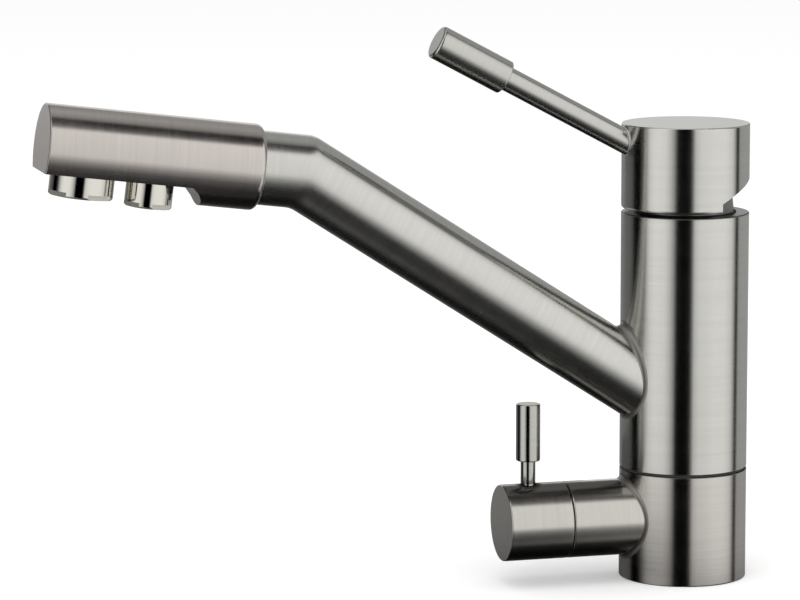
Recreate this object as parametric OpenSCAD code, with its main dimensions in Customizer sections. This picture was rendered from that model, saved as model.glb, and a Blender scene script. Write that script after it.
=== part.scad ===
// Three way filtered water tap for a kitchen sink.
// Origin: the middle of the base on the worktop. +Z is up, and the spout, the mixer lever
// and the filter valve all point along -X in the pose drawn here. Lengths are millimetres.

/* [Body] */
// Outer diameter of the base, the swivel sleeve and the lever cap
body_d = 50; // [49:0.5:54]
// Height of the fixed base above the worktop
base_h = 43.4; // [42:0.2:50]
// Wall of the base tube
base_wall = 3; // [2.6:0.1:3.4]
// Height of the running seam between the base and the sleeve
seam_h = 0.6; // [0.5:0.1:1]
// Length of the swivel sleeve
sleeve_len = 100.7; // [98:0.5:130]
// Wall of the swivel sleeve
sleeve_wall = 3; // [2.8:0.1:3.2]
// Thickness of the inward lip at the top of the sleeve
lip_h = 3; // [2.4:0.1:4]

/* [Spout] */
// Height at which the arm's axis meets the body's axis
arm_join_h = 65.4; // [64:0.2:70]
// Rise of the arm above the horizontal, in degrees
arm_rise = 32.9; // [28:0.5:36]
// Length of the arm from the body's axis to the bend
arm_len = 183.6; // [150:1:220]
// Outer diameter of the arm and of the tip beyond the bend
spout_d = 28.3; // [27.4:0.1:29]
// Wall of the spout tube
spout_wall = 1.5; // [1:0.1:1.7]
// Rise of the tip and of the head above the horizontal, in degrees
tip_angle = 7.2; // [4:0.2:12]
// Length of the tip from the bend to the back of the head
tip_len = 17.5; // [14:0.5:30]
// Outer diameter of the tube that carries the filtered water
filtered_tube_d = 6; // [5:0.1:6.2]

/* [Head] */
// Diameter of the spout head
head_d = 32.8; // [32:0.1:36]
// Length of the spout head
head_len = 83.3; // [80:0.5:95]
// Wall of the head
head_wall = 2; // [1.6:0.1:2.2]
// Distance of the flat underside below the head's axis
flat_drop = 9; // [8.6:0.1:9.6]
// Length of the flat underside, from the front face back
flat_len = 56.4; // [54:0.2:58]
// Distance from the front face back to the mixed water outlet's axis
mixed_outlet_back = 16.7; // [15:0.1:18]
// Distance between the two outlets' axes
outlet_pitch = 26; // [24:0.2:28]
// Outer diameter of the mixed water aerator
mixed_aerator_d = 24.4; // [23.6:0.1:25]
// Length of the mixed water aerator that shows below the flat
mixed_aerator_drop = 8.5; // [7:0.1:12]
// Outer diameter of the filtered water aerator
filter_aerator_d = 18; // [17.6:0.1:19]
// Length of the filtered water aerator that shows below the flat
filter_aerator_drop = 10; // [8:0.1:13]

/* [Filter valve] */
// Height of the branch's axis above the worktop
branch_h = 24.6; // [24:0.1:26]
// Outer diameter of the branch and of its knob
branch_d = 30; // [29:0.1:30.6]
// Distance from the body's axis to the end of the branch
branch_reach = 49; // [48.6:0.1:56]
// Wall of the branch tube
branch_wall = 3; // [2.6:0.1:3.2]
// Running gap between the branch and the knob
knob_gap = 0.4; // [0.3:0.1:0.6]
// Length of the filter knob
knob_len = 25.4; // [24:0.2:32]
// Distance from the knob's end face back to its lever
knob_lever_back = 10.9; // [9:0.1:11.5]
// Height of the filter lever's top above the worktop
knob_lever_top = 71.4; // [62:0.5:78]
// Length of the filter lever's grip
knob_grip_len = 22.5; // [18:0.5:24]
// Diameter of the filter lever's grip
knob_grip_d = 9.5; // [8:0.1:11]
// Diameter of the filter lever's rod
knob_rod_d = 5.8; // [5:0.1:6]

/* [Mixer lever] */
// Gap between the sleeve and the cap
cap_gap = 1.5; // [1.4:0.1:2.5]
// Height of the cap
cap_h = 33.3; // [33:0.1:38]
// Wall of the cap's skirt
cap_wall = 2; // [1.6:0.1:2.1]
// Rise of the lever above the horizontal, in degrees
lever_rise = 28.1; // [26:0.5:32]
// Length of the lever from the body's axis to its end
lever_len = 114.6; // [95:0.5:140]
// Length of the lever's grip
lever_grip_len = 31; // [24:0.5:38]
// Diameter of the lever's grip
lever_grip_d = 13.3; // [11.5:0.1:15]
// Diameter of the lever's rod
lever_rod_d = 9.4; // [8.4:0.1:9.8]
// Greatest lift of the lever, in degrees, for which the notch is cut
lift_angle = 20; // [15:1:20]

/* [Connections] */
// Bore of the threaded hole for the fixing stud
stud_hole_d = 6.8; // [6:0.1:7.2]
// Depth of the threaded hole for the fixing stud
stud_hole_len = 14.5; // [12:0.5:16]
// Bore of each inlet port
inlet_d = 9; // [8:0.1:9.4]
// Depth of each inlet port
inlet_len = 11.5; // [9:0.5:13]

/* [Hidden] */

// Facets of every round shape
$fn = 96;
// How far a cutting shape runs past the face that it cuts
over = 1;
// Clearances: of a running fit, of a seated piece and of a piece that moves freely
fit = 0.1;
seat = 0.05;
free = 0.3;
// Rounding of the thin edges and of the larger grips and rims
edge_r = 0.5;
soft_r = 1.2;

// Body
body_r = body_d / 2;
base_r = body_r - base_wall;
sleeve_r = body_r - sleeve_wall;
sleeve_z = base_h + seam_h;
sleeve_top = sleeve_z + sleeve_len;
ledge_h = 3;
ledge_in = 2.5;
foot_clear = 0.5;
gasket_h = 1.4;
gasket_in = 1.1;
gasket_w = 2.8;

// Slide rings between the core and the sleeve
ring_wall = 1.9;
ring_r = sleeve_r - fit;
neck_r = ring_r - ring_wall - fit;
lip_r = neck_r + fit;
flange_in = 0.6;
lower_ring_h = 6;
upper_ring_h = 6.4;
upper_ring_top = sleeve_top - lip_h - fit;
upper_ring_z = upper_ring_top - upper_ring_h;

// Core: lands, sealing rings and water chambers, set by where the arm's two ports open
foot_r = base_r - fit;
boss_r = base_r - ledge_in - fit;
land_r = sleeve_r - 4 * fit;
o_ring_d = 2.4;
o_ring_r = sleeve_r - fit - o_ring_d / 2;
groove_h = 2.8;
groove_r = o_ring_r - o_ring_d / 2 - fit;
chamber_depth = 5;
chamber_r = sleeve_r - chamber_depth;
chamber_over = 0.8;
waist_r = chamber_r - edge_r;
arm_z = arm_join_h + sleeve_r * tan(arm_rise);
spout_r = spout_d / 2;
spout_in = spout_r - spout_wall;
head_r = head_d / 2;
head_in = head_r - head_wall;
port_clear = 1.7;
waters_r = min(spout_in, head_in - port_clear);
tube_r = filtered_tube_d / 2;
tube_gap = 0.65;
port_edge = 1.15;
ring_side = 1.05;
filtered_off = waters_r - tube_r - tube_gap;
mixed_port_r = (waters_r - port_edge + filtered_off - tube_r - seat
    - (groove_h + 2 * ring_side + 2 * chamber_over) * cos(arm_rise)) / 2;
mixed_off = waters_r - port_edge - mixed_port_r;
filtered_port_z = arm_z - filtered_off / cos(arm_rise);
filtered_half = (filtered_tube_d / 2 + seat) / cos(arm_rise) + chamber_over;
mixed_port_z = arm_z + mixed_off / cos(arm_rise);
mixed_half = mixed_port_r / cos(arm_rise) + chamber_over;
ring_space = groove_h;
ring_z = [filtered_port_z - filtered_half - ring_space,
    (filtered_port_z + filtered_half + mixed_port_z - mixed_half) / 2,
    mixed_port_z + mixed_half + ring_space];
waist_z = ring_z[2] + 2 * ring_space;

// Cartridge, hung from the top of the core
nut_sink = 0.7;
core_top = sleeve_top - nut_sink;
cartridge_depth = 18;
cartridge_z = core_top - cartridge_depth;
cartridge_r = 17.5;
thread_h = 4.6;
thread_r = 18.2;
shoulder_r = 16;
shoulder_z = core_top - thread_h;
neck_out_r = 13.4;
neck_in_r = 11;
neck_up = 14;
neck_top = core_top + neck_up;
floor_h = 2.2;
cavity_r = 14.5;
cartridge_roof = 2;
cavity_top = core_top - cartridge_roof;
port_r = 2.3;
outlet_r = 3;
port_x = -1;
port_y = 7.5;
outlet_x = 6;
seal_h = 1;
seal_w = 1.4;
disc_h = 4;
disc_z = cartridge_z + floor_h + seat;
moving_z = disc_z + disc_h + fit;
moving_r = 10;
recess_r = 6;
recess_in = 3.5;
recess_h = 2;
core_floor = 3;

// Stem, its carrier and the disc driver
pivot_up = 18.8;
cap_z = sleeve_top + cap_gap;
cap_top = cap_z + cap_h;
pivot_z = cap_z + pivot_up;
ball_drop = 14;
ball_z = pivot_z - ball_drop;
ball_r = 2.8;
arm_r = 2.2;
disc_travel = ball_drop * lift_angle * PI / 180;
driver_z = moving_z + disc_h;
driver_r = 9.5;
driver_h = 2.2;
driver_wall = 1.5;
driver_slot = ball_r + free;
driver_half = driver_slot + driver_wall;
driver_y = 4;
driver_up = 2;
driver_top = ball_z + driver_up;
slot_floor = ball_z - ball_r - 2 * free;
carrier_r = neck_in_r - fit;
carrier_flange_r = 13.5;
carrier_flange_h = 2.3;
carrier_z = cavity_top - fit - carrier_flange_h;
ear_r = 4.2;
ear_y = 4.5;
ear_w = 4;
pin_r = 1.5;
stem_y = ear_y - free;
stem_x = 3.9;
stem_drop = 4.5;
stem_sq = 7.5;

// Nut over the cartridge
nut_in = 0.75;
nut_r = neck_r - nut_in;
nut_cone_h = 6.2;
nut_cone_in = 0.65;
nut_dome_h = 7;
nut_dome_in = 4.3;
dome_shares = [0.35, 0.6];

// Cap and mixer lever
cap_roof = 8.5;
roof_z = cap_top - cap_roof;
cap_in_r = body_r - cap_wall;
notch_x = 6.9;
notch_h = 3.7;
notch_slope = 26.6;
lever_join = 13.3;
lever_z = cap_z + lever_join;
lever_boss_r = 7.5;
lever_boss_len = 12.3;
pocket_len = 3.8;
lever_s = body_r / cos(lever_rise);
lever_boss_s = lever_s - lever_boss_len;
pocket_s = lever_s - pocket_len;
lever_stud_r = 3;
lever_bury = 18;
socket_h = 5.7;
cap_screw_r = 2.5;
cap_screw_len = 8;
cap_screw_z = roof_z + socket_h / 2;
hex_r = 1.4;
hex_h = 3;
plug_len = 3;

// Spout and head
bend_x = -arm_len * cos(arm_rise);
bend_z = arm_join_h + arm_len * sin(arm_rise);
mid_rise = (arm_rise + tip_angle) / 2;
half_bend = (arm_rise - tip_angle) / 2;
tube_wall = 1;
head_s = tip_len;
face_s = head_s + head_len;
back_wall = 3;
head_edge = 2.3;
tip_bury = 4.5;
plate_t = 2;
step_run = 5.1;
step_end = 0.2;
step_drop = head_r - flat_drop - step_end;
step_shares = [[0, 1], [0.32, 0.49], [0.67, 0.14], [1, 0]];
flat_s = face_s - flat_len;

// Water block in the head
block_back = 7;
block_s = head_s + block_back;
block_end = face_s - plate_t - free;
block_gap = fit;
block_r = head_in - block_gap;
channel_h = 7;
channel_r = 4;
filtered_h = 1;
filtered_r = 2.2;
tube_bury = 8;
turn_in = 10;
turn_s = block_s + turn_in;
block_ring_d = 1.6;
block_ring_in = 3.2;
block_ring_s = block_s + block_ring_in;
tube_seal_w = 1.3;
tube_seal_h = 1.8;

// Aerators
mixed_s = face_s - mixed_outlet_back;
filter_s = mixed_s - outlet_pitch;
thread_in = 1.3;
thread_up = 5.8;
washer_h = 1;
washer_w = 2.6;
bore_in = 1.3;
insert_up = 1.2;
insert_h = 10;
insert_wall = 1;
grid_pitch = 2.2;
grid_hole = 1.6;
grid_h = 2.5;
key_cut = 1.2;
key_h = 2;
key_turn = 63;
aerator_edge = 1;

// Filter valve, by distance along the branch from the body's axis
branch_r = branch_d / 2;
branch_in = branch_r - branch_wall;
branch_start = body_r / 2;
valve_s = base_r;
valve_r = branch_in - fit;
nose_len = 5;
nose_step = 2.4;
nose_s = valve_s - nose_len;
nose_r = valve_r - nose_step;
spigot_len = 5;
spigot_s = nose_s - spigot_len;
spigot_r = 5;
spigot_bore = 2.5;
plenum_out = 2;
plenum_s = valve_s + plenum_out;
plenum_r = 5;
floor_out = 4;
valve_floor = valve_s + floor_out;
valve_wall = 3;
valve_in_r = nose_r - valve_wall;
valve_disc_r = valve_in_r - fit;
valve_disc_h = 2.5;
valve_port_r = 1.8;
valve_port_off = 3.8;
valve_len = 16;
valve_end = valve_s + valve_len;
return_r = 1.2;
return_off = (nose_r + valve_in_r) / 2;
return_back = 3.2;
return_s = valve_end - return_back;
bonnet_h = 6;
bonnet_step = 1.5;
bonnet_neck_r = nose_r - bonnet_step;
bonnet_end = branch_reach - knob_gap;
spindle_r = 4;
spindle_start = valve_floor + 2 * valve_disc_h + 2 * fit;
collar_r = valve_in_r - free;
collar_h = 1.8;
collar2_h = 1.3;
spindle_out = 10;
spindle_end = branch_reach + spindle_out;
small_ring_d = 1.3;
small_groove = 1.8;
spindle_ring_in = 4;
spindle_ring_s = valve_end + spindle_ring_in;
spigot_ring_in = 2;
spigot_ring_s = spigot_s + spigot_ring_in;
knob_s = branch_reach + knob_gap;
knob_end = knob_s + knob_len;
knob_cup_r = bonnet_neck_r + over;
knob_cup_h = 2;
knob_socket = spindle_end + free;
knob_screw_r = 2;
knob_screw_len = 6;
knob_screw_out = 7;
knob_screw_s = branch_reach + knob_screw_out;
knob_lever_s = knob_end - knob_lever_back;
knob_rod_r = knob_rod_d / 2;
knob_rod_z = 6;
knob_rod_bury = 13;
return_in = 0.2;
return_x = return_in - nose_s;
return_up_r = 1.8;

// Inlet ports and the water ways that lead up from them
inlet_r = inlet_d / 2;
inlet_y = 10.5;
inlet_x = 12;
way_r = 3;

// Frames that put local +Z along a slanting or level axis and local +X above it
module along_arm() {
    translate([0, 0, arm_join_h]) rotate([0, arm_rise - 90, 0]) children();
}
module along_tip() {
    translate([bend_x, 0, bend_z]) rotate([0, tip_angle - 90, 0]) children();
}
module at_bend() {
    translate([bend_x, 0, bend_z]) rotate([0, mid_rise - 90, 0]) children();
}
module along_branch() {
    translate([0, 0, branch_h]) rotate([0, -90, 0]) children();
}
module along_lever() {
    translate([0, 0, lever_z]) rotate([0, lever_rise - 90, 0]) children();
}

module rod(r, z0, z1) {
    translate([0, 0, z0]) cylinder(r = r, h = z1 - z0);
}
module tube(r_out, r_in, z0, z1) {
    difference() {
        rod(r_out, z0, z1);
        rod(r_in, z0 - over, z1 + over);
    }
}
// A turned bar whose two ends are rounded by e0 and e1
module turned(r, z0, z1, e0, e1) {
    rotate_extrude() round_profile(r, z0, z1, e0, e1);
}
module round_profile(r, z0, z1, e0, e1) {
    union() {
        translate([0, z0 + e0]) square([r, z1 - z0 - e0 - e1]);
        if (e0 > 0) translate([0, z0]) square([r - e0, e0]);
        if (e1 > 0) translate([0, z1 - e1]) square([r - e1, e1]);
        if (e0 > 0) intersection() {
            translate([r - e0, z0 + e0]) circle(r = e0, $fn = 48);
            translate([r - e0, z0]) square(e0);
        }
        if (e1 > 0) intersection() {
            translate([r - e1, z1 - e1]) circle(r = e1, $fn = 48);
            translate([r - e1, z1 - e1]) square(e1);
        }
    }
}
module o_ring(r, d, z) {
    translate([0, 0, z]) rotate_extrude() translate([r, 0]) circle(d = d, $fn = 32);
}

// Base
module base_shell() {
    color([0.72, 0.70, 0.68]) difference() {
        union() {
            turned(body_r, 0, base_h, edge_r, edge_r);
            along_branch() turned(branch_r, 0, branch_reach, edge_r, edge_r);
        }
        rod(base_r, ledge_h, base_h + over);
        rod(base_r - ledge_in, -over, ledge_h + over);
        tube(gasket_in + base_r - ledge_in + gasket_w, gasket_in + base_r - ledge_in,
            -over, gasket_h);
        along_branch() rod(branch_in, branch_start, branch_reach + over);
    }
}
module base_seal() {
    r = base_r - ledge_in + gasket_in;
    color([0.08, 0.08, 0.08]) tube(r + gasket_w - seat, r + seat, 0, gasket_h - seat);
}
module valve_core() {
    color([0.80, 0.66, 0.36]) difference() {
        union() {
            rod(boss_r, foot_clear, ledge_h);
            rod(foot_r, ledge_h, base_h);
            rod(neck_r, base_h, core_top);
            rod(land_r, sleeve_z + lower_ring_h, waist_z);
            rod(land_r, cartridge_z - core_floor, upper_ring_z);
        }
        for (z = ring_z) tube(body_r, groove_r, z - groove_h / 2, z + groove_h / 2);
        tube(body_r, chamber_r, filtered_port_z - filtered_half,
            filtered_port_z + filtered_half);
        tube(body_r, chamber_r, mixed_port_z - mixed_half, mixed_port_z + mixed_half);
        tube(body_r, waist_r, waist_z, cartridge_z - core_floor);
        rod(cartridge_r + fit, cartridge_z, core_top + over);
        rod(thread_r + fit, shoulder_z, core_top + over);
        core_waterways();
        along_branch() {
            rod(spigot_r + fit, spigot_s - over, nose_s);
            rod(nose_r + fit, nose_s - over, body_r);
        }
    }
}
module core_waterways() {
    rod(stud_hole_d / 2, 0, foot_clear + stud_hole_len);
    for (side = [-1, 1]) {
        translate([0, side * inlet_y, 0]) rod(inlet_r, 0, foot_clear + inlet_len);
        translate([port_x, side * port_y, 0]) rod(port_r, inlet_len, cartridge_z + over);
    }
    translate([inlet_x, 0, 0]) rod(inlet_r, 0, foot_clear + inlet_len);
    translate([inlet_x, 0, 0]) rod(way_r, inlet_len, branch_h);
    along_branch() rod(way_r, -inlet_x, spigot_s);
    translate([return_x, 0, 0]) rod(return_up_r, branch_h, filtered_port_z);
    translate([outlet_x, 0, 0]) rod(outlet_r, mixed_port_z, cartridge_z + over);
    translate([outlet_x, 0, mixed_port_z]) rotate([0, 90, 0]) rod(outlet_r, 0, body_r);
}
module core_o_rings() {
    color([0.10, 0.10, 0.10]) for (z = ring_z) o_ring(o_ring_r, o_ring_d, z);
}
module lower_slide_ring() {
    color([0.12, 0.12, 0.12]) difference() {
        union() {
            rod(body_r - flange_in, base_h, sleeve_z - fit);
            rod(ring_r, base_h, sleeve_z + lower_ring_h - fit);
        }
        rod(neck_r + fit, base_h - over, sleeve_z + lower_ring_h + over);
    }
}
module upper_slide_ring() {
    color([0.85, 0.84, 0.80]) tube(ring_r, neck_r + fit, upper_ring_z, upper_ring_top);
}

// Mixer cartridge
module ports(z0, z1) {
    for (side = [-1, 1]) translate([port_x, side * port_y, 0]) rod(port_r, z0, z1);
    translate([outlet_x, 0, 0]) rod(outlet_r, z0, z1);
}
module cartridge_housing() {
    color([0.90, 0.90, 0.88]) difference() {
        union() {
            rod(cartridge_r, cartridge_z, shoulder_z);
            rod(shoulder_r, shoulder_z, core_top);
            rod(neck_out_r, core_top, neck_top);
        }
        rod(cavity_r, cartridge_z + floor_h, cavity_top);
        rod(neck_in_r, cavity_top - over, neck_top + over);
        ports(cartridge_z - over, cartridge_z + floor_h + over);
        seal_rings(cartridge_z - over, cartridge_z + seal_h, seat);
    }
}
module seal_rings(z0, z1, grow) {
    for (side = [-1, 1]) translate([port_x, side * port_y, 0])
        tube(port_r + seal_w + grow, port_r + 3 * seat - grow, z0, z1);
    translate([outlet_x, 0, 0])
        tube(outlet_r + seal_w + grow, outlet_r + 3 * seat - grow, z0, z1);
}
module cartridge_seals() {
    color([0.15, 0.15, 0.15]) seal_rings(cartridge_z, cartridge_z + seal_h - seat, 0);
}
module mixer_fixed_disc() {
    color([0.95, 0.95, 0.93]) difference() {
        rod(cavity_r - fit, disc_z, disc_z + disc_h);
        ports(disc_z - over, disc_z + disc_h + over);
    }
}
module mixer_moving_disc() {
    color([0.93, 0.93, 0.91]) translate([disc_travel / 2, 0, 0]) difference() {
        rod(moving_r, moving_z, driver_z);
        translate([recess_in, 0, 0]) rod(recess_r, moving_z - over, moving_z + recess_h);
    }
}
module disc_driver() {
    color([0.75, 0.75, 0.72]) difference() {
        union() {
            translate([disc_travel / 2, 0, 0]) rod(driver_r, driver_z, driver_z + driver_h);
            translate([-driver_half, -driver_y, driver_z])
                cube([2 * driver_half, 2 * driver_y, driver_top - driver_z]);
        }
        translate([-driver_slot, -driver_y - over, slot_floor])
            cube([2 * driver_slot, 2 * (driver_y + over), driver_top - slot_floor + over]);
    }
}
module stem_carrier() {
    window_x = driver_half + disc_travel + free;
    window_len = 2 * driver_half + disc_travel + 2 * free;
    window_y = driver_y + free;
    color([0.82, 0.80, 0.74]) difference() {
        union() {
            rod(carrier_flange_r, carrier_z, carrier_z + carrier_flange_h);
            rod(carrier_r, carrier_z, neck_top);
            for (side = [-1, 1]) translate([0, side * (ear_y + ear_w / 2), 0]) {
                translate([-ear_r, -ear_w / 2, neck_top])
                    cube([2 * ear_r, ear_w, pivot_z - neck_top]);
                translate([0, ear_w / 2, pivot_z]) rotate([90, 0, 0])
                    cylinder(r = ear_r, h = ear_w);
            }
        }
        translate([-window_x, -window_y, carrier_z - over])
            cube([window_len, 2 * window_y, neck_top - carrier_z + 2 * over]);
        translate([0, ear_y + ear_w + over, pivot_z]) rotate([90, 0, 0])
            cylinder(r = pin_r + seat, h = 2 * (ear_y + ear_w + over));
    }
}
module stem_pin() {
    color([0.70, 0.70, 0.72]) translate([0, ear_y + ear_w, pivot_z]) rotate([90, 0, 0])
        cylinder(r = pin_r, h = 2 * (ear_y + ear_w));
}
module lever_stem() {
    color([0.78, 0.66, 0.38]) difference() {
        union() {
            translate([-stem_x, -stem_y, pivot_z - stem_drop])
                cube([2 * stem_x, 2 * stem_y, 2 * stem_drop]);
            translate([-stem_sq / 2, -stem_sq / 2, pivot_z])
                cube([stem_sq, stem_sq, roof_z + socket_h - seat - pivot_z]);
            rod(arm_r, ball_z, pivot_z - stem_drop);
            translate([0, 0, ball_z]) sphere(r = ball_r);
        }
        translate([0, stem_y + over, pivot_z]) rotate([90, 0, 0])
            cylinder(r = pin_r + seat, h = 2 * (stem_y + over));
    }
}
module cartridge_nut() {
    dome_z = core_top + seat + nut_cone_h;
    color([0.74, 0.74, 0.73]) difference() {
        union() {
            rod(thread_r, shoulder_z, dome_z);
            rotate_extrude() polygon([[0, core_top + seat], [nut_r, core_top + seat],
                [nut_r - nut_cone_in, dome_z],
                [nut_r - nut_cone_in - nut_dome_in * dome_shares[0],
                    dome_z + nut_dome_h * dome_shares[1]],
                [nut_r - nut_cone_in - nut_dome_in, dome_z + nut_dome_h],
                [0, dome_z + nut_dome_h]]);
        }
        rod(shoulder_r + fit, shoulder_z - over, core_top + seat);
        rod(neck_out_r + fit, core_top, dome_z + nut_dome_h + over);
    }
}

// Cap and mixer lever
module lever_cap() {
    far = body_r + over;
    color([0.74, 0.72, 0.70]) difference() {
        union() {
            difference() {
                turned(body_r, cap_z, cap_top, soft_r, edge_r);
                rod(cap_in_r, cap_z - over, roof_z);
            }
            intersection() {
                rod(cap_in_r + cap_wall / 2, cap_z, cap_top - cap_roof / 2);
                along_lever() rod(lever_boss_r, lever_boss_s, lever_len);
            }
        }
        translate([0, far, 0]) rotate([90, 0, 0]) linear_extrude(2 * far)
            polygon([[notch_x, cap_z - over], [notch_x, cap_z + notch_h],
                [far, cap_z + notch_h + (far - notch_x) * tan(notch_slope)],
                [far, cap_z - over]]);
        along_lever() rod(lever_rod_d / 2 + seat, pocket_s, lever_len);
        along_lever() rod(lever_stud_r + seat, 0, pocket_s + over);
        translate([-stem_sq / 2 - seat, -stem_sq / 2 - seat, roof_z - over])
            cube([stem_sq + 2 * seat, stem_sq + 2 * seat, socket_h + over]);
        translate([0, 0, cap_screw_z]) rotate([0, 90, 0]) rod(cap_screw_r + seat, 0, far);
    }
}
module lever_rod() {
    color([0.76, 0.75, 0.74]) along_lever() {
        rod(lever_rod_d / 2, pocket_s + seat, lever_len - lever_grip_len + lever_bury);
        rod(lever_stud_r, lever_boss_s + edge_r, pocket_s + over);
    }
}
module lever_grip() {
    start = lever_len - lever_grip_len;
    color([0.76, 0.75, 0.74]) along_lever() difference() {
        turned(lever_grip_d / 2, start, lever_len, edge_r, soft_r);
        rod(lever_rod_d / 2 + seat, start - over, start + lever_bury + seat);
    }
}
module grub_screw(r, z0, z1) {
    difference() {
        rod(r, z0, z1);
        translate([0, 0, z1 - hex_h]) cylinder(r = hex_r, h = hex_h + over, $fn = 6);
    }
}
module cap_set_screw() {
    x = stem_sq / 2 + seat;
    color([0.30, 0.30, 0.32]) translate([0, 0, cap_screw_z]) rotate([0, 90, 0])
        grub_screw(cap_screw_r, x, x + cap_screw_len);
}
module cap_screw_plug() {
    color([0.72, 0.71, 0.70]) intersection() {
        translate([0, 0, cap_screw_z]) rotate([0, 90, 0])
            rod(cap_screw_r, body_r - plug_len, body_r + over);
        rod(body_r - fit, cap_z, cap_top);
    }
}

// Spout
module swivel_sleeve() {
    color([0.72, 0.70, 0.68]) difference() {
        turned(body_r, sleeve_z, sleeve_top, edge_r, edge_r);
        rod(sleeve_r, sleeve_z - over, sleeve_top - lip_h);
        rod(lip_r, sleeve_z, sleeve_top + over);
        along_arm() {
            translate([-filtered_off, 0, 0]) rod(tube_r + seat, 0, arm_len / 2);
            translate([mixed_off, 0, 0]) rod(mixed_port_r, 0, arm_len / 2);
        }
    }
}
// Two mitred rods, joined across the mitre by a ball that stays inside them
module spout_path(r, shift, start, end) {
    at_bend() translate([shift / cos(half_bend), 0, 0]) sphere(r = r - free);
    difference() {
        along_arm() translate([shift, 0, 0]) rod(r, start, arm_len + spout_d);
        at_bend() translate([-spout_d, -spout_d, 0]) cube(2 * spout_d);
    }
    difference() {
        along_tip() translate([shift, 0, 0]) rod(r, -spout_d, end);
        at_bend() translate([-spout_d, -spout_d, -2 * spout_d]) cube(2 * spout_d);
    }
}
module spout_tube() {
    color([0.72, 0.70, 0.68]) difference() {
        spout_path(spout_r, 0, 0, head_s + tip_bury);
        spout_path(spout_in, 0, 0, head_s + tip_bury + over);
        rod(body_r + seat / 2, 0, sleeve_top);
    }
}
module filtered_tube() {
    color([0.86, 0.88, 0.90]) difference() {
        spout_path(tube_r, -filtered_off, 0, block_s + tube_bury);
        spout_path(tube_r - tube_wall, -filtered_off, 0, block_s + tube_bury + over);
        rod(sleeve_r + fit, 0, sleeve_top);
    }
}

// Head: the underside is cut away to a flat, which ends in a slanting step
module step_cut(inset) {
    far = head_r + over;
    top = inset - flat_drop;
    rotate([90, 0, 0]) linear_extrude(2 * far, center = true) polygon(concat(
        [[top, face_s + over]],
        [for (share = step_shares) [top - step_drop * share[0],
            flat_s - inset - step_run * (1 - share[1])]],
        [[-far, flat_s - inset - step_run], [-far, face_s + over]]));
}
module head_shell() {
    color([0.72, 0.69, 0.67]) along_tip() difference() {
        turned(head_r, head_s, face_s - plate_t, head_edge, 0);
        step_cut(0);
        difference() {
            rod(head_in, head_s + back_wall, face_s);
            step_cut(head_wall);
        }
        rod(spout_r + seat, head_s - over, head_s + back_wall + over);
        translate([0, 0, mixed_s]) rotate([0, -90, 0])
            rod(mixed_aerator_d / 2 - thread_in + fit, 0, head_r);
        translate([0, 0, filter_s]) rotate([0, -90, 0])
            rod(filter_aerator_d / 2 - thread_in + fit, 0, head_r);
    }
}
module head_end_plate() {
    color([0.66, 0.65, 0.64]) along_tip() difference() {
        rod(head_r, face_s - plate_t, face_s);
        step_cut(0);
    }
}
module head_waterway() {
    socket_z = flat_drop - thread_up - washer_h - fit;
    color([0.35, 0.36, 0.38]) along_tip() difference() {
        rod(block_r, block_s, block_end);
        step_cut(head_wall + block_gap);
        translate([channel_h, 0, 0]) rod(channel_r, block_s - over, mixed_s);
        translate([-filtered_off, 0, 0]) rod(tube_r + seat, block_s - over,
            block_s + tube_bury + seat);
        translate([-filtered_off, 0, 0]) rod(filtered_r, block_s, turn_s);
        translate([0, 0, turn_s]) rotate([0, -90, 0])
            rod(filtered_r, filtered_h, filtered_off);
        translate([-filtered_h, 0, 0]) rod(filtered_r, turn_s, filter_s);
        translate([0, 0, mixed_s]) rotate([0, -90, 0]) {
            rod(channel_r, -channel_h, socket_z + over);
            rod(mixed_aerator_d / 2 - thread_in + fit, socket_z, head_r);
        }
        translate([0, 0, filter_s]) rotate([0, -90, 0]) {
            rod(filtered_r, filtered_h, socket_z + over);
            rod(filter_aerator_d / 2 - thread_in + fit, socket_z, head_r);
        }
        tube(head_r, block_r - block_ring_d, block_ring_s - block_ring_d / 2 - seat,
            block_ring_s + block_ring_d / 2 + seat);
        translate([-filtered_off, 0, 0]) rod(tube_r + tube_seal_w + fit,
            block_s - over, block_s + tube_seal_h + seat);
    }
}
module waterway_o_ring() {
    color([0.10, 0.10, 0.10]) along_tip()
        o_ring(block_r - block_ring_d / 2 + seat, block_ring_d, block_ring_s);
}
module filtered_tube_seal() {
    color([0.12, 0.12, 0.12]) along_tip() translate([-filtered_off, 0, 0])
        tube(tube_r + tube_seal_w, tube_r + seat, block_s, block_s + tube_seal_h);
}

// Aerators, drawn in the outlet's frame, whose +Z points down out of the head
module outlet_down(s) {
    along_tip() translate([0, 0, s]) rotate([0, -90, 0]) children();
}
module aerator_housing(d, drop) {
    low = flat_drop + drop;
    r = d / 2;
    difference() {
        union() {
            turned(r, flat_drop + seat, low, seat, aerator_edge);
            rod(r - thread_in, flat_drop - thread_up, flat_drop + over);
        }
        rod(r - thread_in - bore_in, flat_drop - thread_up - over, low + over);
        for (turn = [0:3]) rotate([0, 0, key_turn + 90 * turn])
            translate([r - key_cut, -r, low - key_h]) cube([r, d, key_h + over]);
    }
}
module aerator_insert(d, drop) {
    r = d / 2 - thread_in - bore_in - seat;
    low = flat_drop + drop - insert_up;
    count = floor((r - insert_wall) / grid_pitch);
    difference() {
        rod(r, low - insert_h, low);
        rod(r - insert_wall, low - insert_h - over, low - grid_h);
        translate([0, 0, low - grid_h - over]) linear_extrude(grid_h + 2 * over)
            for (i = [-count:count]) for (j = [-count:count])
                if (norm([2 * abs(i) + 1, 2 * abs(j) + 1]) * grid_pitch / 2 < r)
                    translate([i * grid_pitch, j * grid_pitch])
                        square(grid_hole, center = true);
    }
}
module aerator_washer(d) {
    r = d / 2 - thread_in;
    tube(r - seat, r - washer_w, flat_drop - thread_up - washer_h, flat_drop - thread_up);
}
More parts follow.
